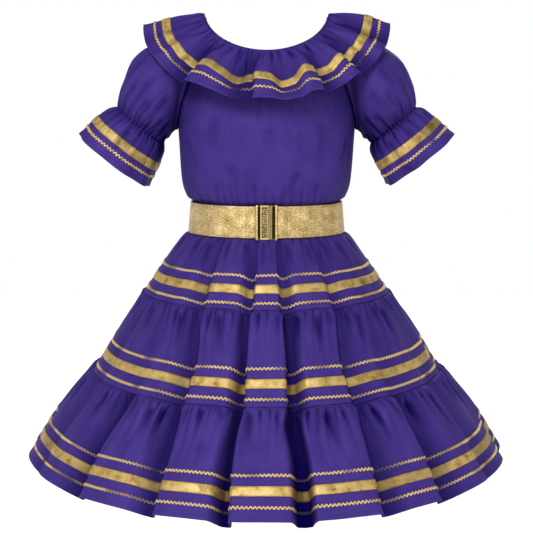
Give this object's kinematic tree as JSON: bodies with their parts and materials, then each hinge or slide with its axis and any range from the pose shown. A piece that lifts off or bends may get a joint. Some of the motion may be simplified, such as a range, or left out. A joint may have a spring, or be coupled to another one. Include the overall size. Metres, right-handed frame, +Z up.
{
  "type": "square dance outfit",
  "caption": "Worn-form blouse with a gathered ruffle collar and puff sleeves, a tiered skirt and a wide clasp belt, in plain indigo cloth with gold trims.",
  "frame": {"origin": "middle of the wearer's waist, at half the height of the belt, where the wearer holds the outfit up", "axes": "+Z up, +X towards the wearer's left, the front of the outfit faces -Y"},
  "size_m": [0.8152, 0.7597, 0.7584],
  "materials": {
    "indigo_cloth": "plain cotton weave, soft sheen",
    "gold_ribbon": "metallic satin ribbon",
    "gold_braid": "metallic zigzag braid",
    "gold_belt": "crackled gold foil on a flexible band",
    "clasp_metal": "antique gold plating"
  },
  "bodies": {
    "root": {"bodice_front": "indigo_cloth", "bodice_back": "indigo_cloth", "sleeve_left": "indigo_cloth", "sleeve_right": "indigo_cloth", "neck_casing": "indigo_cloth", "collar_ruffle": "indigo_cloth", "skirt_waistband": "indigo_cloth", "tier_1_front": "indigo_cloth", "tier_1_back": "indigo_cloth", "tier_2_front": "indigo_cloth", "tier_2_back": "indigo_cloth", "tier_3_front": "indigo_cloth", "tier_3_back": "indigo_cloth", "collar_ribbon": "gold_ribbon", "sleeve_ribbon_left": "gold_ribbon", "sleeve_ribbon_right": "gold_ribbon", "tier_1_ribbon": "gold_ribbon", "tier_2_ribbon": "gold_ribbon", "tier_3_ribbon": "gold_ribbon", "collar_rickrack": "gold_braid", "sleeve_rickrack_left": "gold_braid", "sleeve_rickrack_right": "gold_braid", "tier_1_rickrack_upper": "gold_braid", "tier_1_rickrack_lower": "gold_braid", "tier_2_rickrack_upper": "gold_braid", "tier_2_rickrack_lower": "gold_braid", "tier_3_rickrack_upper": "gold_braid", "tier_3_rickrack_lower": "gold_braid", "belt_band": "gold_belt", "clasp_left": "clasp_metal", "clasp_right": "clasp_metal"}
  },
  "joints": []
}
